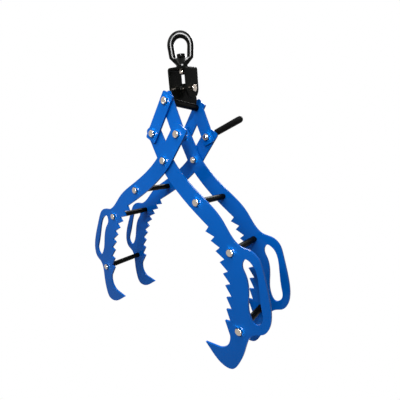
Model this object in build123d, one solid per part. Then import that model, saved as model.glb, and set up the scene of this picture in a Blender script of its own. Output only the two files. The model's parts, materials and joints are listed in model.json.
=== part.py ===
from build123d import *
from math import asin, cos, degrees, pi, radians, sin
import os

# Four-claw log grapple that hangs from a swivel eye.
# Millimetres, X across the jaws, Y from the front plates to the back ones, Z up.
# The model is drawn about the centre pivot, where the arms cross, and then moved
# so that the origin is the inner crown of the eye, where a hook carries it.

# Plates and their layers
plate_thick = 6.0
layer_gap = 0.5
inner_width = 128.2
running_gap = 0.3
bore_clear = 0.05
cut_over = 1.0

# Scissor linkage, in the half-open pose
lever_length = 86.0
lever_angle = 31.94
link_pitch = 98.0
open_pivot_clear = 2.1

# Links
link_width = 40.0
link_end = 21.5
link_corner = 5.0

# Claw plates: the lever above the centre pivot and the blade below it
lever_width = 49.0
lever_end = 26.0
lever_corner = 9.0
lever_straight_share = 0.3
claw_reach = 351.0
claw_drop = 537.0

# Teeth on the inside of each blade
tooth_count = 9
tooth_depth = 16.5
tooth_first_angle = 44.0
tooth_last_angle = -5.3
tooth_growth_share = 0.024
tooth_root_share = 0.13
tooth_centre_share = (-0.1616, 0.6950)
tooth_arc_share = (0.8205, 0.5363)

# Blade outline as shares of the reach and of the drop, from the centre pivot
inner_edge_shares = [(0.028, 0.088), (0.197, 0.183)]
throat_shares = [(0.708, 0.812), (0.684, 0.881), (0.627, 0.907)]
claw_tip_share = (0.497, 0.920)
hook_shares = [
    (0.584, 0.966), (0.675, 0.9945), (0.747, 0.990), (0.800, 0.941), (0.834, 0.864),
    (0.854, 0.793), (0.879, 0.759), (0.911, 0.742),
]
handle_shares = [
    (0.951, 0.729), (0.989, 0.695), (1.000, 0.655), (0.973, 0.552), (0.909, 0.433),
    (0.867, 0.380), (0.800, 0.355), (0.730, 0.349),
]
outer_edge_shares = [(0.655, 0.318), (0.564, 0.248), (0.382, 0.156), (0.214, 0.078)]
slot_shares = [
    (0.786, 0.400), (0.832, 0.417), (0.889, 0.503), (0.931, 0.617), (0.940, 0.668),
    (0.893, 0.696), (0.852, 0.668), (0.823, 0.568), (0.783, 0.473), (0.754, 0.427),
]

# Round bars across each jaw and their places on the blade
bar_dia = 18.0
bar_shares = [(0.334, 0.188), (0.657, 0.389), (0.780, 0.763)]

# Hexagon bolts and nuts of one size
bolt_dia = 12.0
hex_flats = 18.0
head_height = 7.5
nut_height = 10.0
hex_chamfer = 1.2
thread_stickout = 3.0
tapped_depth = 24.0

# Crossbar with its lug, at the top of the linkage
lug_thick = 10.0
lug_rise = 44.2
lug_round = 14.0
lug_half_width = 56.0
lug_shoulder = 33.0
lug_corner = 8.0

# Yoke, drawn about its bolt
yoke_width = 65.5
yoke_depth = 53.0
yoke_height = 56.0
yoke_wall = 6.0
yoke_bend = 8.0
head_tilt = 11.4

# Swivel eye and its bolt, also measured from the yoke's bolt
swivel_dia = 14.0
swivel_flats = 23.0
swivel_head = 9.5
eye_turn = 36.0
eye_hub_radius = 16.7
eye_neck_height = 5.5
eye_flare_height = 17.5
eye_bar_dia = 18.5
eye_bow_radius = 27.3
eye_bow_centre = 52.5
eye_leg_taper = 5.6

# Release handle on the back of the left jaw
handle_angle = 26.3
handle_length = 119.0
handle_rod_dia = 14.0
handle_grip_dia = 20.0
handle_offset = 6.0
handle_tab_width = 26.0
handle_tab_length = 8.0
handle_grip_end = 5.0


# Places that follow from the sizes
inner_face = inner_width / 2
outer_face = inner_face + plate_thick + layer_gap
outside = outer_face + plate_thick
bolt_radius = bolt_dia / 2
bore = bolt_radius + bore_clear
link_angle = degrees(asin(lever_length * sin(radians(lever_angle)) / link_pitch))
pivot_x = lever_length * sin(radians(lever_angle))
pivot_z = lever_length * cos(radians(lever_angle))
top_z = pivot_z + link_pitch * cos(radians(link_angle))
yoke_bolt_z = top_z + lug_rise
hub_base = yoke_height + running_gap
flare_base = hub_base + eye_neck_height
flare_top = flare_base + eye_flare_height
bow_centre = hub_base + eye_bow_centre
eye_crown = bow_centre + eye_bow_radius - eye_bar_dia / 2
origin_y = -eye_crown * sin(radians(head_tilt))
origin_z = yoke_bolt_z + eye_crown * cos(radians(head_tilt))
to_origin = Pos(0, -origin_y, -origin_z)
head_place = Pos(0, 0, yoke_bolt_z) * Rot(head_tilt, 0, 0)


def on_blade(share):
    """A point of the blade from its shares of the reach and the drop."""
    return (share[0] * claw_reach, -share[1] * claw_drop)


def on_lever(along, across):
    """A point of the right jaw's lever: along it from the centre pivot, and across it."""
    turn = radians(lever_angle)
    return (-along * sin(turn) + across * cos(turn), along * cos(turn) + across * sin(turn))


def tooth_point(angle, depth):
    """A point on the tooth arc, or below it by a depth into the blade."""
    centre_x, centre_z = on_blade(tooth_centre_share)
    across = tooth_arc_share[0] * claw_reach + depth
    down = tooth_arc_share[1] * claw_drop + depth
    return (centre_x + across * cos(radians(angle)), centre_z + down * sin(radians(angle)))


def tooth_line():
    """Root, tip, root, tip: saw teeth that lean up the blade and grow a little downwards."""
    steps = tooth_count - 1
    pitch = (tooth_last_angle - tooth_first_angle) / steps
    angle = tooth_first_angle
    points = []
    for number in range(tooth_count):
        points.append(tooth_point(angle - tooth_root_share * pitch, tooth_depth))
        points.append(tooth_point(angle, 0))
        angle += pitch * (1 + tooth_growth_share * (number - (steps - 1) / 2))
    return points


def claw_face():
    """The right claw's outline, with its hand slot."""
    half = lever_width / 2
    low = lever_straight_share * lever_length
    high = lever_length + lever_end
    start = on_lever(low, -half)
    end = on_lever(low, half)
    teeth = tooth_line()
    throat = [on_blade(share) for share in throat_shares]
    tip = on_blade(claw_tip_share)
    back = [on_blade(share) for share in hook_shares + handle_shares + outer_edge_shares]
    inner = [on_blade(share) for share in inner_edge_shares]
    edges = [
        Spline(start, on_lever(0, -half), *inner, teeth[0]),
        Polyline(*teeth, throat[0]),
        ThreePointArc(*throat),
        Line(throat[-1], tip),
        Spline(tip, *back, on_lever(0, half), end),
        FilletPolyline(end, on_lever(high, half), on_lever(high, -half), start, radius=lever_corner),
    ]
    slot = Spline(*[on_blade(share) for share in slot_shares], periodic=True)
    return make_face(Curve() + edges) - make_face(slot)


def disc(place, radius):
    return Pos(*place) * Circle(radius)


def plate(face, layer, side):
    """Stand a face drawn in X and Z up in a layer, at the front (-1) or the back (1)."""
    start = layer + plate_thick if side > 0 else -layer
    return Pos(0, start, 0) * extrude(Plane.XZ * face, plate_thick)


def claw(hand, side):
    """Left claws lie in the outer layer with a free hole at the centre pivot."""
    left = hand == "left"
    centre = bore + open_pivot_clear if left else bore
    face = claw_face() - disc((0, 0), centre) - disc(on_lever(lever_length, 0), bore)
    for share in bar_shares:
        face -= disc(on_blade(share), bore)
    standing = plate(face, outer_face if left else inner_face, side)
    return mirror(standing, Plane.YZ) if left else standing


def link(hand, side):
    """Left links lie in the outer layer and right links in the inner one."""
    left = hand == "left"
    bar = RectangleRounded(link_width, link_pitch + 2 * link_end, link_corner)
    for end in (-1, 1):
        bar -= disc((0, end * link_pitch / 2), bore)
    lean = -link_angle if left else link_angle
    across = (-1 if left else 1) * pivot_x / 2
    face = Pos(across, (pivot_z + top_z) / 2) * Rot(0, 0, lean) * bar
    return plate(face, outer_face if left else inner_face, side)


def hexagon(flats, height):
    """A hexagonal head or nut that stands on z = 0, with its outer corners turned off."""
    corner = flats / 2 / cos(pi / 6)
    blank = extrude(RegularPolygon(corner, 6), height)
    turned = extrude(Circle(corner), height)
    return blank & chamfer(turned.edges().group_by(Axis.Z)[-1], hex_chamfer)


def rod(radius, low, high):
    """A cylinder along Z from one height to another."""
    return Pos(0, 0, low) * extrude(Circle(radius), high - low)


def bolt(length):
    """A hexagon bolt whose head stands on z = 0 and whose shank runs down."""
    return hexagon(hex_flats, head_height) + rod(bolt_radius, -length, 0)


def nut():
    """A nut that hangs below z = 0."""
    return Pos(0, 0, -nut_height) * (hexagon(hex_flats, nut_height) - rod(bore, 0, nut_height))


def from_outside(part, place, height, side):
    """Point a fastener outwards at a place in X and Z, its seat at a distance from the middle."""
    return Pos(place[0], side * height, place[1]) * Rot(-90 * side, 0, 0) * part


def group(parts):
    return Compound(children=parts)


def jaw_bolts(hand):
    """The six bolts that clamp a jaw's plates to the ends of its bars."""
    seat = outside if hand == "left" else inner_face + plate_thick
    flip = -1 if hand == "left" else 1
    places = [on_blade(share) for share in bar_shares]
    return group([
        from_outside(bolt(plate_thick + tapped_depth), (flip * x, z), seat, side)
        for x, z in places for side in (-1, 1)
    ])


def jaw_bar(hand, share):
    """A round bar across a jaw, tapped at both ends."""
    reach = outer_face if hand == "left" else inner_face
    hole_depth = tapped_depth + cut_over
    bar = rod(bar_dia / 2, -reach, reach)
    bar -= rod(bore, reach - hole_depth, reach) + rod(bore, -reach, hole_depth - reach)
    x, z = on_blade(share)
    return Pos(-x if hand == "left" else x, 0, z) * Rot(90, 0, 0) * bar


def pivot_set(place, head_gap, nut_gap, extra=0):
    """Bolts and nuts of a pivot through both layers, at the front and the back."""
    grip = outside - inner_face + head_gap + nut_gap
    length = grip + nut_height + thread_stickout
    bolts = []
    nuts = []
    for side in (-1, 1):
        lift = extra if side > 0 else 0
        bolts.append(from_outside(bolt(length + lift), place, outside + head_gap + lift, side))
        nuts.append(from_outside(nut(), place, inner_face - nut_gap, side))
    return group(bolts), group(nuts)


def crossbar():
    """The round bar between the tops of the links, tapped for the top bolts."""
    reach = inner_face - running_gap
    hole_depth = tapped_depth + cut_over
    bar = rod(bar_dia / 2, -reach, reach)
    bar -= rod(bore, reach - hole_depth, reach) + rod(bore, -reach, hole_depth - reach)
    return Pos(0, 0, top_z) * Rot(90, 0, 0) * bar


def top_bolts():
    seat = outside + running_gap
    length = seat - (inner_face - running_gap) + tapped_depth
    return group([from_outside(bolt(length), (0, top_z), seat, side) for side in (-1, 1)])


def lug():
    """The lug plate on the crossbar, saddled over it, with the hole for the yoke's bolt."""
    outline = [
        (-lug_half_width, 0), (lug_half_width, 0),
        (lug_half_width, lug_shoulder), (-lug_half_width, lug_shoulder),
    ]
    base = make_face(Polyline(*outline, close=True))
    base = fillet(base.vertices().group_by(Axis.Y)[-1], lug_corner)
    eye = Pos(0, lug_rise) * Circle(lug_round)
    slope = lug_half_width - lug_corner
    ramp = [(-slope, lug_shoulder), (-lug_round, lug_rise), (lug_round, lug_rise), (slope, lug_shoulder)]
    rise = make_face(Polyline(*ramp, close=True))
    face = base + rise + eye - Pos(0, lug_rise) * Circle(bore)
    standing = Pos(-lug_thick / 2, 0, top_z) * extrude(Plane.YZ * face, lug_thick)
    reach = lug_half_width + cut_over
    return standing - Pos(0, 0, top_z) * Rot(90, 0, 0) * rod(bar_dia / 2, -reach, reach)


def yoke():
    """An inverted U bent from flat bar, its feet rounded about the bolt."""
    foot = yoke_depth / 2
    outer = RectangleRounded(yoke_width, yoke_height * 2, yoke_bend)
    inner = RectangleRounded(yoke_width - 2 * yoke_wall, (yoke_height - yoke_wall) * 2, yoke_bend - yoke_wall / 2)
    band = extrude(Plane.XZ * (outer - inner), foot, both=True)
    side = Pos(0, yoke_height / 2) * Rectangle(yoke_depth, yoke_height) + Circle(foot)
    form = band & extrude(Plane.YZ * side, yoke_width, both=True)
    form -= Rot(0, 90, 0) * rod(bore, -yoke_width, yoke_width)
    return form - rod(bore, 0, yoke_height + cut_over)


def yoke_bolt():
    """The bolt along X through the yoke and the lug, its head on the right."""
    half = yoke_width / 2
    length = yoke_width + nut_height + thread_stickout
    return Pos(half, 0, 0) * Rot(0, 90, 0) * bolt(length)


def yoke_nut():
    return Pos(-yoke_width / 2, 0, 0) * Rot(0, 90, 0) * nut()


def swivel_bolt():
    """A shouldered bolt: the eye turns on the shoulder, and the thinner end clamps the yoke."""
    seat = flare_top + running_gap
    end = yoke_height - yoke_wall - nut_height - thread_stickout
    head = Pos(0, 0, seat) * hexagon(swivel_flats, swivel_head)
    return head + rod(swivel_dia / 2, yoke_height, seat) + rod(bolt_radius, end, yoke_height)


def swivel_nut():
    return Pos(0, 0, yoke_height - yoke_wall) * nut()


def swivel_eye():
    """A forged eye: hub, flared base and a bow of round bar, turned to face the front right."""
    taper = radians(eye_leg_taper)
    bow_x = eye_bow_radius * cos(taper)
    bow_z = bow_centre - eye_bow_radius * sin(taper)
    foot_z = flare_top - cut_over
    foot_x = bow_x - (bow_z - foot_z) * sin(taper) / cos(taper)
    path = Curve() + [
        Line((-foot_x, 0, foot_z), (-bow_x, 0, bow_z)),
        ThreePointArc((-bow_x, 0, bow_z), (0, 0, bow_centre + eye_bow_radius), (bow_x, 0, bow_z)),
        Line((bow_x, 0, bow_z), (foot_x, 0, foot_z)),
    ]
    section = Plane(origin=path @ 0, z_dir=path % 0) * Circle(eye_bar_dia / 2)
    bow = sweep(section, path)
    width = 2 * foot_x + eye_bar_dia
    flare = loft([
        Pos(0, 0, flare_base) * Circle(eye_hub_radius),
        Pos(0, 0, flare_top) * SlotOverall(width, eye_bar_dia),
    ])
    hub = rod(eye_hub_radius, hub_base, flare_base)
    clear = rod(swivel_flats / 2 / cos(pi / 6) + running_gap, flare_top, flare_top + swivel_head)
    hanging = (Align.CENTER, Align.CENTER, Align.MAX)
    below = Pos(0, 0, flare_top) * Box(width * 2, width, eye_flare_height, align=hanging)
    form = (bow - below) + flare + hub - clear
    return Rot(0, 0, eye_turn) * (form - rod(swivel_dia / 2 + bore_clear, hub_base, flare_top))


def handle_frame():
    """The handle's own axes: X along it from the right back pivot, on the outside of the plate."""
    return Pos(pivot_x, outside, pivot_z) * Rot(0, -handle_angle, 0)


def handle_axis():
    """The rod's axis, clear of the plate and a little above the pivot."""
    return Pos(0, handle_grip_dia / 2 + running_gap, handle_offset) * Rot(0, 90, 0)


def handle_rod():
    """A rod on a flat tab that the back pivot bolt clamps to the plate."""
    tab = Pos(handle_tab_length / 2, 0) * SlotOverall(handle_tab_length + handle_tab_width, handle_tab_width)
    tab -= Circle(bore)
    flat = Pos(0, plate_thick, 0) * extrude(Plane.XZ * tab, plate_thick)
    start = hex_flats / 2 / cos(pi / 6) + cut_over
    stem = handle_axis() * rod(handle_rod_dia / 2, start, handle_length - handle_grip_end)
    return handle_frame() * (flat + stem)


def handle_grip():
    """A sleeve with a domed end over the rod."""
    radius = handle_grip_dia / 2
    start = handle_tab_length + handle_tab_width / 2 + running_gap
    sleeve = rod(radius, start, handle_length - radius) + Pos(0, 0, handle_length - radius) * Sphere(radius)
    sleeve -= rod(handle_rod_dia / 2 + bore_clear, start, handle_length - handle_grip_end + bore_clear)
    return handle_frame() * handle_axis() * sleeve


def build():
    """Every node by name, about the centre pivot."""
    nodes = {}
    for name, maker in (
        ("swivel_eye", swivel_eye), ("swivel_bolt", swivel_bolt), ("swivel_nut", swivel_nut),
        ("yoke", yoke), ("yoke_bolt", yoke_bolt), ("yoke_nut", yoke_nut),
    ):
        nodes[name] = head_place * maker()
    nodes["crossbar"] = crossbar()
    nodes["lug_plate"] = lug()
    nodes["top_bolts"] = top_bolts()
    for hand in ("left", "right"):
        for side, word in ((-1, "front"), (1, "back")):
            nodes[f"{hand}_link_{word}"] = link(hand, side)
            nodes[f"{hand}_claw_{word}"] = claw(hand, side)
        for share, word in zip(bar_shares, ("upper", "middle", "lower")):
            nodes[f"{hand}_bar_{word}"] = jaw_bar(hand, share)
        nodes[f"{hand}_jaw_bolts"] = jaw_bolts(hand)
    nodes["centre_bolts"], nodes["centre_nuts"] = pivot_set((0, 0), running_gap, 0)
    nodes["left_pivot_bolts"], nodes["left_pivot_nuts"] = pivot_set((-pivot_x, pivot_z), running_gap, 0)
    nodes["right_pivot_bolts"], nodes["right_pivot_nuts"] = pivot_set(
        (pivot_x, pivot_z), 0, running_gap, extra=plate_thick)
    nodes["handle_rod"] = handle_rod()
    nodes["handle_grip"] = handle_grip()
    return nodes


os.makedirs("parts", exist_ok=True)
for name, part in build().items():
    export_step(to_origin * part, f"parts/{name}.step")
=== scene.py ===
# %% [markdown]
# A log grapple hangs from a swivel eye. Its four claws are blue steel plates with teeth
# and hand slots, four plain blue links carry them, and black bars and zinc bolts hold the
# plates together in pairs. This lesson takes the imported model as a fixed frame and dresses
# it piece by piece: first the camera, the light and the finishes, then the plates and
# bars, the fasteners, and last the eye and the weld.

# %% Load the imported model
import json
from math import atan2, cos, pi, radians, sin, tan

import bmesh
import bpy
from mathutils import Matrix, Vector


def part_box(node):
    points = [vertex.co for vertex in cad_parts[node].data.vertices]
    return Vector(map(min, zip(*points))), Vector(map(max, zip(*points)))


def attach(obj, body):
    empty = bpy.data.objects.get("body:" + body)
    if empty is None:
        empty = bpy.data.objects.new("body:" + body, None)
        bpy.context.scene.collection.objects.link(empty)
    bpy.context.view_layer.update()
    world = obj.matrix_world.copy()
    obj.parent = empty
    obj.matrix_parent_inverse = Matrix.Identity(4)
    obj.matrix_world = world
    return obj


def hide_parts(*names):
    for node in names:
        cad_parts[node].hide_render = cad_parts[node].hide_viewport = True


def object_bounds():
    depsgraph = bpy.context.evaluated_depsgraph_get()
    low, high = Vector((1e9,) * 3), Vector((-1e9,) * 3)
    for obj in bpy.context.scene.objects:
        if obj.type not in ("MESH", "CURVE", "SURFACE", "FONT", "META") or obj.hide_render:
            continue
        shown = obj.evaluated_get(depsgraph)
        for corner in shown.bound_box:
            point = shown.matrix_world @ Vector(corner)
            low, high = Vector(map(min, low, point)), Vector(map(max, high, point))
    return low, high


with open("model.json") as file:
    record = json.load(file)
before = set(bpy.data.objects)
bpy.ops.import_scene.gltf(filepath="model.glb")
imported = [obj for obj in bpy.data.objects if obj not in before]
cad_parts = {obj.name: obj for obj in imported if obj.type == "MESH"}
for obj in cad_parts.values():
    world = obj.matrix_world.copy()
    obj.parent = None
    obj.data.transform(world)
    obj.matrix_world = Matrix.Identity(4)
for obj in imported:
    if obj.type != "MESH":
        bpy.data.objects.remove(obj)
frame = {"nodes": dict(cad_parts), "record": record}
cad_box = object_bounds()
record = frame["record"]
print("CAD box, metres:", [tuple(round(value, 3) for value in corner) for corner in cad_box])

# %% [markdown]
# A picture is compared with its photograph only when the camera stands where the real one
# stood. The place, the three turns and the lens below come from matching the pivots and
# the claw tips of the model to those in the photograph. The sensor is square in effect,
# because the picture is, so the lens alone sets how much is seen.

# %% Camera
camera_place = Vector((0.5271, -0.5976, -0.2789))
heading, looking_down, roll = radians(35.82), radians(11.75), radians(3.05)
lens_mm, sensor_mm = 23.91, 36.0

camera_data = bpy.data.cameras.new("photo_camera")
camera_data.lens, camera_data.sensor_width = lens_mm, sensor_mm
camera = bpy.data.objects.new("photo_camera", camera_data)
bpy.context.collection.objects.link(camera)
camera.matrix_world = (
    Matrix.Translation(camera_place)
    @ Matrix.Rotation(heading, 4, "Z")
    @ Matrix.Rotation(radians(90) - looking_down, 4, "X")
    @ Matrix.Rotation(roll, 4, "Z")
)
bpy.context.scene.camera = camera
print("camera", round((camera_place - (cad_box[0] + cad_box[1]) / 2).length, 2), "m from the middle")

# %% [markdown]
# The photograph has a plain white background. Making it with more light would wash the
# paint out, so the world is a dim bluish grey for the light that falls on the grapple, and
# plain white only where the camera, a reflection or a clear material looks at it. Light
# Path tells those rays apart.

# %% World
def white_where_seen(tree, lit):
    """Mix a lit shader with plain white for camera, glossy and transmission rays."""
    path = tree.nodes.new("ShaderNodeLightPath")
    seen = path.outputs["Is Camera Ray"]
    for ray in ("Is Glossy Ray", "Is Transmission Ray"):
        either = tree.nodes.new("ShaderNodeMath")
        either.operation = "MAXIMUM"
        tree.links.new(seen, either.inputs[0])
        tree.links.new(path.outputs[ray], either.inputs[1])
        seen = either.outputs[0]
    of_world = lit.bl_idname == "ShaderNodeBackground"
    white = tree.nodes.new("ShaderNodeBackground" if of_world else "ShaderNodeEmission")
    white.inputs["Color"].default_value = (1, 1, 1, 1)
    mix = tree.nodes.new("ShaderNodeMixShader")
    tree.links.new(seen, mix.inputs[0])
    tree.links.new(lit.outputs[0], mix.inputs[1])
    tree.links.new(white.outputs[0], mix.inputs[2])
    return mix


room_colour, room_strength = (0.86, 0.93, 1.0), 0.16
world = bpy.data.worlds.new("white_studio")
world.use_nodes = True
bpy.context.scene.world = world
bpy.context.scene.view_settings.view_transform = "Standard"
world_tree = world.node_tree
room = world_tree.nodes["Background"]
room.inputs["Color"].default_value = (*room_colour, 1)
room.inputs["Strength"].default_value = room_strength
mixed = white_where_seen(world_tree, room)
world_tree.links.new(mixed.outputs[0], world_tree.nodes["World Output"].inputs["Surface"])
print("world strength", room_strength)

# %% [markdown]
# The grapple hangs, so the floor is well below the claws and their shadow falls outside
# the picture. A plane is enough for it.

# %% Floor
floor_drop, floor_size = 1.1, 30.0
floor_grey, floor_roughness = 0.2, 0.9
floor_mesh = bmesh.new()
bmesh.ops.create_grid(floor_mesh, x_segments=1, y_segments=1, size=floor_size / 2)
bmesh.ops.translate(floor_mesh, verts=floor_mesh.verts, vec=(0, 0, cad_box[0].z - floor_drop))
floor_data = bpy.data.meshes.new("floor")
floor_mesh.to_mesh(floor_data)
floor = bpy.data.objects.new("floor", floor_data)
bpy.context.collection.objects.link(floor)

floor_paint = bpy.data.materials.new("pale_floor")
floor_paint.use_nodes = True
floor_tree = floor_paint.node_tree
plain = floor_tree.nodes["Principled BSDF"]
plain.inputs["Base Color"].default_value = (floor_grey, floor_grey, floor_grey, 1)
plain.inputs["Roughness"].default_value = floor_roughness
floor_mix = white_where_seen(floor_tree, plain)
floor_tree.links.new(floor_mix.outputs[0], floor_tree.nodes["Material Output"].inputs["Surface"])
floor_data.materials.append(floor_paint)
print("floor", floor_drop, "m below the claws")

# %% [markdown]
# The photograph shows where its lamps stood. The eye has one bright line along its bow and
# both its legs, so a wide lamp stood beside the camera. Every bolt head has a white spot
# on its right in the gloss paint: the mirror image of its own side, lit by the same lamp.
# Here that lamp is split in two. The key lamp is small and gives crisp shadows. The glint
# lamp is wide, gives mirror light only, and light linking keeps it to the forged and the
# zinc pieces, so that it can't glare in the flat plates. The upper edges are light and
# the lower ones dark, so a wide lamp hangs above. One more stands in front, one fills in
# from the left, and the last one is for views from behind.

# %% Lamps
middle = (cad_box[0] + cad_box[1]) / 2
lamps = {
    "key_lamp": ((0.62, -1.1, 0.78), 0.12, 10),
    "front_lamp": ((-0.1, -1.3, 0.75), 0.5, 8),
    "glint_lamp": ((0.8, -0.98, 0.6), 0.75, 320),
    "top_lamp": ((0.2, -0.4, 1.5), 0.9, 12),
    "fill_lamp": ((-1.1, -1.1, 1.2), 1.0, 10),
    "back_lamp": ((-0.3, 1.2, 1.0), 0.8, 26),
}


def softbox(name, offset, size, power):
    """A square area lamp, so many watts, at an offset from the grapple's middle and facing it."""
    data = bpy.data.lights.new(name, "AREA")
    data.shape, data.size, data.energy = "SQUARE", size, power
    lamp = bpy.data.objects.new(name, data)
    bpy.context.collection.objects.link(lamp)
    lamp.location = middle + Vector(offset)
    lamp.rotation_mode = "QUATERNION"
    lamp.rotation_quaternion = Vector(offset).to_track_quat("Z", "Y")
    print(name, "at", round(Vector(offset).length, 2), "m")
    return lamp


lit = {name: softbox(name, *place_size_power) for name, place_size_power in lamps.items()}
glossy_pieces = bpy.data.collections.new("glossy_pieces")
lit["glint_lamp"].visible_diffuse = False
lit["glint_lamp"].light_linking.receiver_collection = glossy_pieces

# %% [markdown]
# Paint, zinc and rubber differ in three things: how the colour drifts over a hand's
# breadth, how the gloss changes, and the fine grain of the surface. Each is a noise
# texture at its own scale, read in Object coordinates. Every piece's object sits at the
# world's origin, so those coordinates are metres on the real grapple, and the grain keeps
# its true size on every piece. Values that are the same all over go straight on the shader.

# %% Noise and grain
gloss_drift_ratio = 3


def noise(tree, scale, detail, place):
    """A noise texture in object coordinates; scale is cells per metre."""
    texture = tree.nodes.new("ShaderNodeTexNoise")
    texture.inputs["Scale"].default_value = scale
    texture.inputs["Detail"].default_value = detail
    tree.links.new(place.outputs["Object"], texture.inputs["Vector"])
    return texture.outputs["Fac"]


def spread(tree, value, low, high):
    """Stretch the middle of a noise, where most of it lies, to a range from low to high."""
    ranged = tree.nodes.new("ShaderNodeMapRange")
    for socket, number in (("From Min", 0.3), ("From Max", 0.7), ("To Min", low), ("To Max", high)):
        ranged.inputs[socket].default_value = number
    tree.links.new(value, ranged.inputs["Value"])
    return ranged.outputs["Result"]


def blend_colours(tree, factor, first, second):
    """Mix two colours by a factor; sockets 6 and 7 of the node are its colours."""
    mix = tree.nodes.new("ShaderNodeMix")
    mix.data_type = "RGBA"
    mix.inputs[6].default_value = (*first, 1)
    mix.inputs[7].default_value = (*second, 1)
    tree.links.new(factor, mix.inputs[0])
    return mix.outputs[2]


def grain(tree, height, distance, under=None):
    """A bump of a real depth in metres, on top of another one if given."""
    bump = tree.nodes.new("ShaderNodeBump")
    bump.inputs["Distance"].default_value = distance
    tree.links.new(height, bump.inputs["Height"])
    if under:
        tree.links.new(under, bump.inputs["Normal"])
    return bump.outputs["Normal"]


# %% Finish
def finish(name, colours, drift, gloss, grains, **fixed):
    """A material: two colours that drift, a roughness range, and grains of (scale, depth)."""
    material = bpy.data.materials.new(name)
    material.use_nodes = True
    tree = material.node_tree
    shader = tree.nodes["Principled BSDF"]
    place = tree.nodes.new("ShaderNodeTexCoord")
    drifting = spread(tree, noise(tree, drift, 3, place), 0, 1)
    tree.links.new(blend_colours(tree, drifting, *colours), shader.inputs["Base Color"])
    patches = spread(tree, noise(tree, drift * gloss_drift_ratio, 4, place), *gloss)
    tree.links.new(patches, shader.inputs["Roughness"])
    normal = None
    for scale, depth in grains:
        normal = grain(tree, noise(tree, scale, 2, place), depth, normal)
    tree.links.new(normal, shader.inputs["Normal"])
    for socket, value in fixed.items():
        shader.inputs[socket.replace("_", " ")].default_value = value
    sizes = [round(1000 / scale, 1) for scale, depth in grains]
    print(name, "drifts over", round(1000 / drift), "mm, grain", sizes, "mm")
    return material


# %% [markdown]
# The plates have a gloss blue powder coat. It is one strong blue with a faint drift in
# depth, and the orange peel of all powder coats: soft dimples about two millimetres
# across. The bars and the head are a satin black that is a little rougher, the eye and
# its bolt have the coarser skin of a forging under gloss black, the other bolts have
# bright zinc with warm patches, and the grip is matt rubber. Reflections show plain
# white, so the Specular levels are low: at full strength they would turn blue and black
# to grey.

# %% Paint, zinc and rubber
blue = finish("blue_powder_coat", ((0.0005, 0.096, 0.425), (0.0015, 0.114, 0.5)), 7,
              (0.05, 0.1), ((480, 0.000006), (1500, 0.000001)), Specular_IOR_Level=0.05)
black = finish("black_satin_paint", ((0.002, 0.0025, 0.002), (0.005, 0.005, 0.004)), 25,
               (0.2, 0.34), ((700, 0.00002), (2500, 0.000004)), Specular_IOR_Level=0.035)
forged = finish("black_painted_forging", ((0.002, 0.0025, 0.002), (0.004, 0.004, 0.0035)), 40,
                (0.12, 0.2), ((150, 0.00003), (900, 0.000004)), Specular_IOR_Level=0.05)
zinc = finish("bright_zinc", ((0.42, 0.39, 0.35), (0.46, 0.37, 0.30)), 110,
              (0.08, 0.18), ((900, 0.000006), (3500, 0.000001)), Metallic=1.0)
rubber = finish("matt_rubber", ((0.003, 0.003, 0.003), (0.006, 0.006, 0.006)), 60,
                (0.4, 0.6), ((1200, 0.00003), (4000, 0.00001)), Specular_IOR_Level=0.05)

# %% [markdown]
# New pieces all end the same way: a bmesh becomes an object at the world's origin, gets
# its finish, rides on a body, and stands for a CAD node. One helper does that.
# Weighted normals keep the flat faces flat in the light while the small rounded edges
# catch it. The glossy pieces also go on the glint lamp's list.

# %% From a bmesh to a riding piece
body_of_node = {node: body for body, nodes in record["behaviour"]["bodies"].items() for node in nodes}
flat_face_weight = 80


def settle(name, mesh, finish_used, node, stands_for=True):
    """Turn a bmesh into a finished piece that rides with a CAD node's body."""
    data = bpy.data.meshes.new(name)
    mesh.to_mesh(data)
    mesh.free()
    data.shade_smooth()
    data.materials.append(finish_used)
    piece = bpy.data.objects.new(name, data)
    bpy.context.collection.objects.link(piece)
    even = piece.modifiers.new("even_shading", "WEIGHTED_NORMAL")
    even.weight = flat_face_weight
    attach(piece, body_of_node[node])
    if stands_for:
        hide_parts(node)
    if finish_used in (forged, zinc):
        glossy_pieces.objects.link(piece)
    return piece


# %% [markdown]
# A cut plate leaves the laser with sharp edges, and the powder coat then flows round
# them. Those rounded edges are the thin light and dark lines in the photograph, so every
# plate and bar gets them. A CAD node's mesh is loose triangles and stays as it is. A copy
# of it is merged, its flat faces are joined again, and the edges that turn more than
# thirty degrees get a bevel.

# %% Round the edges of a CAD node
merge_distance = 1e-6
flat_turn, sharp_turn = radians(0.4), radians(30)


def merged_copy(node):
    """A bmesh of a CAD node with its triangles joined up."""
    mesh = bmesh.new()
    mesh.from_mesh(frame["nodes"][node].data)
    bmesh.ops.remove_doubles(mesh, verts=mesh.verts, dist=merge_distance)
    return mesh


def soften(node, width, finish_used, segments=2):
    """Replace a CAD node by a copy with rounded edges."""
    mesh = merged_copy(node)
    bmesh.ops.dissolve_limit(mesh, angle_limit=flat_turn, verts=mesh.verts, edges=mesh.edges)
    sharp = [edge for edge in mesh.edges if edge.is_manifold and edge.calc_face_angle() > sharp_turn]
    bmesh.ops.bevel(mesh, geom=sharp, offset=width, offset_type="OFFSET", affect="EDGES",
                    segments=segments, profile=0.5, material=-1, clamp_overlap=True)
    piece = settle(f"{node}_finished", mesh, finish_used, node)
    print(node, len(sharp), "edges rounded,", len(piece.data.polygons), "faces")
    return piece


# %% Blue plates
plate_edge = 0.0009
for hand in ("left", "right"):
    for word in ("front", "back"):
        soften(f"{hand}_claw_{word}", plate_edge, blue)
        soften(f"{hand}_link_{word}", plate_edge, blue)

# %% Black bars, lug and yoke, and the handle
bar_edge = 0.0008
for hand in ("left", "right"):
    for word in ("upper", "middle", "lower"):
        soften(f"{hand}_bar_{word}", bar_edge, black)
for node in ("crossbar", "lug_plate", "yoke", "handle_rod"):
    soften(node, bar_edge, black)
soften("handle_grip", bar_edge, rubber)

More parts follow.
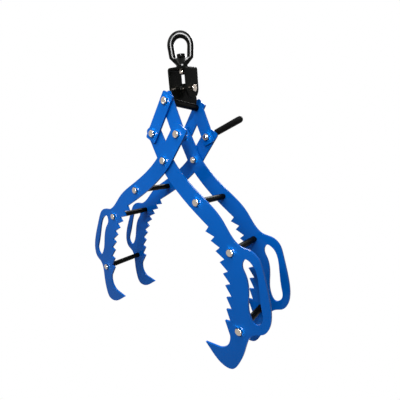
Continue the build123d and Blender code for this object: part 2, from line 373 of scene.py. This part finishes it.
# %% [markdown]
# Bolts and nuts are the small bright things that the eye goes to. A real hexagon head is
# a hexagon cut by a cone, so its flats end in curved lines, and it stands on a thin round
# washer face. A Boolean of a prism and a cone would do, but leaves untidy faces. Here one
# circle is extruded ring by ring instead, and every vertex of a ring goes to the radius
# and height that the shape has in its own direction. The same way makes a true helical
# thread: the radius follows the height and the direction together.

# %% Skin a stack of rings
ring_sides = 36
head_rim_share = 0.94
chamfer_slope = tan(radians(30))
washer_face_share, washer_face = 0.92, 0.0005
hollow_rim_share, hollow_floor_share, hollow_middle_share = 0.86, 0.8, 0.2
shank_chamfer, bore_sink = 0.001, 0.0008
thread_pitch, thread_depth, thread_steps = 0.00175, 0.0009, 6


def skin(rings, closed=False):
    """A bmesh through rings; each ring gives the radius and height for an angle."""
    mesh = bmesh.new()
    start = bmesh.ops.create_circle(mesh, cap_ends=False, segments=ring_sides, radius=1)["verts"]
    current = start
    for number, ring in enumerate(rings):
        if number:
            edges = [edge for edge in mesh.edges if edge.verts[0] in current and edge.verts[1] in current]
            grown = bmesh.ops.extrude_edge_only(mesh, edges=edges)["geom"]
            current = {part for part in grown if isinstance(part, bmesh.types.BMVert)}
        else:
            current = set(start)
        for vertex in current:
            angle = atan2(vertex.co.y, vertex.co.x)
            radius, height = ring(angle)
            vertex.co = (radius * cos(angle), radius * sin(angle), height)
    if closed:
        bmesh.ops.remove_doubles(mesh, verts=mesh.verts, dist=merge_distance)
    else:
        bmesh.ops.holes_fill(mesh, edges=mesh.edges, sides=0)
    bmesh.ops.recalc_face_normals(mesh, faces=mesh.faces)
    return mesh


def circle_ring(radius, height):
    """A plain round ring."""
    return lambda angle: (radius, height)


def hexagon_ring(flats, height, side=0):
    """A hexagon; side 1 or -1 lets its corners fall away upwards or downwards like a cone."""
    rim = flats / 2 * head_rim_share

    def ring(angle):
        reach = flats / 2 / cos(angle % (pi / 3) - pi / 6)
        return reach, height - side * (reach - rim) * chamfer_slope
    return ring


def thread_ring(radius, height, fade):
    """A ring of a helical thread; fade 0 leaves it plain."""
    def ring(angle):
        turn = (height / thread_pitch - angle / (2 * pi)) % 1
        return radius - fade * thread_depth * abs(2 * turn - 1), height
    return ring


# %% Bolt and nut
def thread(radius, low, high):
    """Rings of a thread from low to high that runs out at both ends."""
    count = max(2, round((high - low) / thread_pitch * thread_steps))
    run_out = thread_steps / 2
    rings = []
    for step in range(count + 1):
        fade = min(1, step / run_out, (count - step) / run_out)
        rings.append(thread_ring(radius, low + (high - low) * step / count, fade))
    return rings


def bolt_shape(shank_radius, length, thread_length, flats, head, shoulder=None):
    """A hexagon bolt that stands on height zero; its thicker shoulder is (radius, length)."""
    tip = shank_chamfer
    face = flats / 2 * washer_face_share
    rim = flats / 2 * head_rim_share
    floor_height = head - washer_face
    rings = [circle_ring(shank_radius - tip, -length)]
    rings += thread(shank_radius, -length + tip, -length + tip + thread_length)
    if shoulder:
        rings += [circle_ring(shank_radius, -shoulder[1]), circle_ring(shoulder[0], -shoulder[1]),
                  circle_ring(shoulder[0], 0)]
    else:
        rings += [circle_ring(shank_radius, 0)]
    rings += [circle_ring(face, 0), circle_ring(face, washer_face),
              hexagon_ring(flats, washer_face + tip / 4), hexagon_ring(flats, head, 1),
              circle_ring(rim, head), circle_ring(rim * hollow_rim_share, head),
              circle_ring(rim * hollow_floor_share, floor_height),
              circle_ring(rim * hollow_middle_share, floor_height)]
    return skin(rings)


def nut_shape(bore, flats, height):
    """A hexagon nut that stands on height zero, chamfered and countersunk on both sides."""
    rim = flats / 2 * head_rim_share
    sunk = bore + bore_sink
    rings = [circle_ring(sunk, 0), circle_ring(rim, 0), hexagon_ring(flats, 0, -1),
             hexagon_ring(flats, height, 1), circle_ring(rim, height), circle_ring(sunk, height),
             circle_ring(bore, height - bore_sink), circle_ring(bore, bore_sink), circle_ring(sunk, 0)]
    return skin(rings, closed=True)


# %% [markdown]
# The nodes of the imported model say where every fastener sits, so nothing is placed by
# eye. A node may hold several bolts as separate solids. Their boxes are found by walking
# over each solid's vertices from neighbour to neighbour. A bolt's head is on the outside,
# at the front or at the back.

# %% Find the fasteners
def solids_of(node):
    """The lowest and highest corner of each solid in a CAD node."""
    mesh = merged_copy(node)
    left, boxes = set(mesh.verts), []
    while left:
        found, edge = set(), {left.pop()}
        while edge:
            found |= edge
            edge = {link.other_vert(vertex) for vertex in edge for link in vertex.link_edges} - found
        left -= found
        boxes.append([Vector([pick(vertex.co[axis] for vertex in found) for axis in range(3)])
                      for pick in (min, max)])
    mesh.free()
    return sorted(boxes, key=lambda box: (round(box[0].y, 3), box[0].x, box[0].z))


def join(meshes):
    """One bmesh from several."""
    whole = bmesh.new()
    for mesh in meshes:
        data = bpy.data.meshes.new("part_of_whole")
        mesh.to_mesh(data)
        mesh.free()
        whole.from_mesh(data)
        bpy.data.meshes.remove(data)
    return whole


def facing(side, place, turn=0):
    """The matrix that stands a fastener along Y, outwards at the front (-1) or the back (1)."""
    standing_up = Matrix.Rotation(radians(-90) * side, 4, "X")
    return Matrix.Translation(place) @ standing_up @ Matrix.Rotation(turn, 4, "Z")


# %% [markdown]
# A spanner leaves each bolt head at some angle. Here the angles are chosen so that one
# flat of every head sends the glint lamp's light into the paint beside it and on to the
# camera. Going down from the top, that takes more and more turn.

# %% Bolts across the grapple
bolt_radius, bolt_flats, head_height = 0.006, 0.018, 0.0075
bolt_threads = {"left_jaw_bolts": 0.022, "right_jaw_bolts": 0.022, "top_bolts": 0.022,
                "centre_bolts": 0.014, "left_pivot_bolts": 0.014, "right_pivot_bolts": 0.014}
spanner_turn, turn_below = radians(14), radians(95)


def spanner_angle(place):
    """How far a spanner has left a head turned: more and more, going down from the top."""
    return spanner_turn + turn_below * (cad_box[1].z - place.z)


for node, thread_length in bolt_threads.items():
    meshes = []
    for low, high in solids_of(node):
        side = -1 if (low.y + high.y) / 2 < middle.y else 1
        seat = low.y + head_height if side < 0 else high.y - head_height
        length = high.y - low.y - head_height
        mesh = bolt_shape(bolt_radius, length, thread_length, bolt_flats, head_height)
        place = Vector(((low.x + high.x) / 2, seat, (low.z + high.z) / 2))
        placing = facing(side, place, -side * spanner_angle(place))
        bmesh.ops.transform(mesh, matrix=placing, verts=mesh.verts)
        meshes.append(mesh)
    settle(f"{node}_threaded", join(meshes), zinc, node)
    print(node, len(meshes), "bolts, the last", round(length * 1000, 1), "mm long")

# %% Nuts inside the plates
nut_bore = 0.00605
for node in ("centre_nuts", "left_pivot_nuts", "right_pivot_nuts"):
    meshes = []
    for low, high in solids_of(node):
        mesh = nut_shape(nut_bore, bolt_flats, high.y - low.y)
        place = Vector(((low.x + high.x) / 2, low.y, (low.z + high.z) / 2))
        bmesh.ops.transform(mesh, matrix=facing(1, place, spanner_angle(place)), verts=mesh.verts)
        meshes.append(mesh)
    settle(f"{node}_threaded", join(meshes), zinc, node)
    print(node, len(meshes), "nuts")

# %% [markdown]
# The head leans to the front on the yoke's bolt, so its fasteners are made upright and
# then turned with it. The swivel joint of the record gives both the place of that bolt
# and the direction that the eye turns about.

# %% Fasteners of the head
swivel = next(joint for joint in record["behaviour"]["joints"] if joint["name"] == "swivel")
lean = atan2(-swivel["axis"][1], swivel["axis"][2])
head = Matrix.Translation(swivel["pos_m"]) @ Matrix.Rotation(lean, 4, "X")
swivel_shoulder, swivel_head = 0.007, 0.0095
cross_thread, spin_thread = 0.016, 0.014


def head_box(node):
    """The lowest and highest corner of a CAD node in the head's own upright directions."""
    upright = [head.inverted() @ vertex.co for vertex in frame["nodes"][node].data.vertices]
    return [Vector([pick(place[axis] for place in upright) for axis in range(3)]) for pick in (min, max)]


yoke_low, yoke_high = head_box("yoke")
cross_low = head_box("yoke_bolt")[0]
spin_low, spin_high = head_box("swivel_bolt")
nut_low, nut_high = head_box("swivel_nut")
nut_height, swivel_seat = nut_high.z - nut_low.z, spin_high.z - swivel_head


def head_piece(node, mesh, placing, finish_used):
    """Place a fastener that was made in the head's upright directions."""
    bmesh.ops.transform(mesh, matrix=head @ placing, verts=mesh.verts)
    return settle(f"{node}_threaded", mesh, finish_used, node)


def along_x(place):
    """The matrix that lays a fastener along X at a distance from the head's middle."""
    return Matrix.Translation((place, 0, 0)) @ Matrix.Rotation(radians(90), 4, "Y")


cross_length, spin_length = yoke_high.x - cross_low.x, swivel_seat - spin_low.z
cross_bolt = bolt_shape(bolt_radius, cross_length, cross_thread, bolt_flats, head_height)
spin_bolt = bolt_shape(bolt_radius, spin_length, spin_thread, spin_high.y - spin_low.y, swivel_head,
                       (swivel_shoulder, swivel_seat - yoke_high.z))
cross_nut, spin_nut = [nut_shape(nut_bore, bolt_flats, nut_height) for _ in range(2)]
cross_turn = Matrix.Rotation(spanner_turn, 4, "Z")
head_piece("yoke_bolt", cross_bolt, along_x(yoke_high.x) @ cross_turn, zinc)
head_piece("yoke_nut", cross_nut, along_x(yoke_low.x - nut_height), zinc)
head_piece("swivel_bolt", spin_bolt, Matrix.Translation((0, 0, swivel_seat)), forged)
head_piece("swivel_nut", spin_nut, Matrix.Translation((0, 0, nut_low.z)), zinc)
print("head leans", round(lean * 180 / pi, 1), "degrees, swivel bolt", round(spin_length, 4), "m")

# %% [markdown]
# The eye is a forging: its bow, its flared foot and its hub flow into each other without
# a crease. The CAD solid has them as plain shapes that meet at lines. A voxel remesh
# turns a merged copy into one even skin, and a few rounds of smoothing let that skin run
# over the creases as hot steel does in a die.

# %% Swivel eye
voxel, smooth_rounds, smooth_step = 0.0007, 14, 0.5
mesh = merged_copy("swivel_eye")
eye = settle("swivel_eye_forged", mesh, forged, "swivel_eye")
eye.modifiers.clear()
skin_over = eye.modifiers.new("one_skin", "REMESH")
skin_over.mode, skin_over.voxel_size, skin_over.use_smooth_shade = "VOXEL", voxel, True
flow = eye.modifiers.new("flow", "SMOOTH")
flow.factor, flow.iterations = smooth_step, smooth_rounds
print("eye skin cells of", voxel * 1000, "mm")

# %% [markdown]
# The lug plate is welded along the bar. A weld bead is a row of small overlapping
# ripples, as the puddle sets again and again. It is a thin rod, skinned ring by ring,
# whose radius rises and falls every two and a half millimetres.

# %% Weld beads
top_of_links = next(joint for joint in record["behaviour"]["joints"] if joint["name"] == "grip")["pos_m"]
lug_low, lug_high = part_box("lug_plate")
bar_low, bar_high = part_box("crossbar")
bead_radius, ripple, ripple_share, bead_steps = 0.0028, 0.0025, 0.1, 150
end_share, fade_steps, out_share = 0.45, 4, 0.35
bar_radius = (bar_high.x - bar_low.x) / 2
bead_x = lug_high.x + bead_radius * out_share
bead_z = top_of_links[2] + (bar_radius ** 2 - bead_x ** 2) ** 0.5
beads = []
for hand in (-1, 1):
    rings = []
    for step in range(bead_steps + 1):
        along = (lug_high.y - lug_low.y) * step / bead_steps
        end_fade = min(1, step / fade_steps, (bead_steps - step) / fade_steps)
        wave = 1 + ripple_share * abs(sin(pi * along / ripple))
        fullness = end_share + (1 - end_share) * end_fade
        rings.append(circle_ring(bead_radius * wave * fullness, along))
    mesh = skin(rings)
    placing = facing(1, Vector((hand * bead_x, lug_low.y, bead_z)))
    bmesh.ops.transform(mesh, matrix=placing, verts=mesh.verts)
    beads.append(mesh)
settle("lug_weld_beads", join(beads), black, "lug_plate", stands_for=False)
print("weld beads", round((lug_high.y - lug_low.y) * 1000), "mm long")
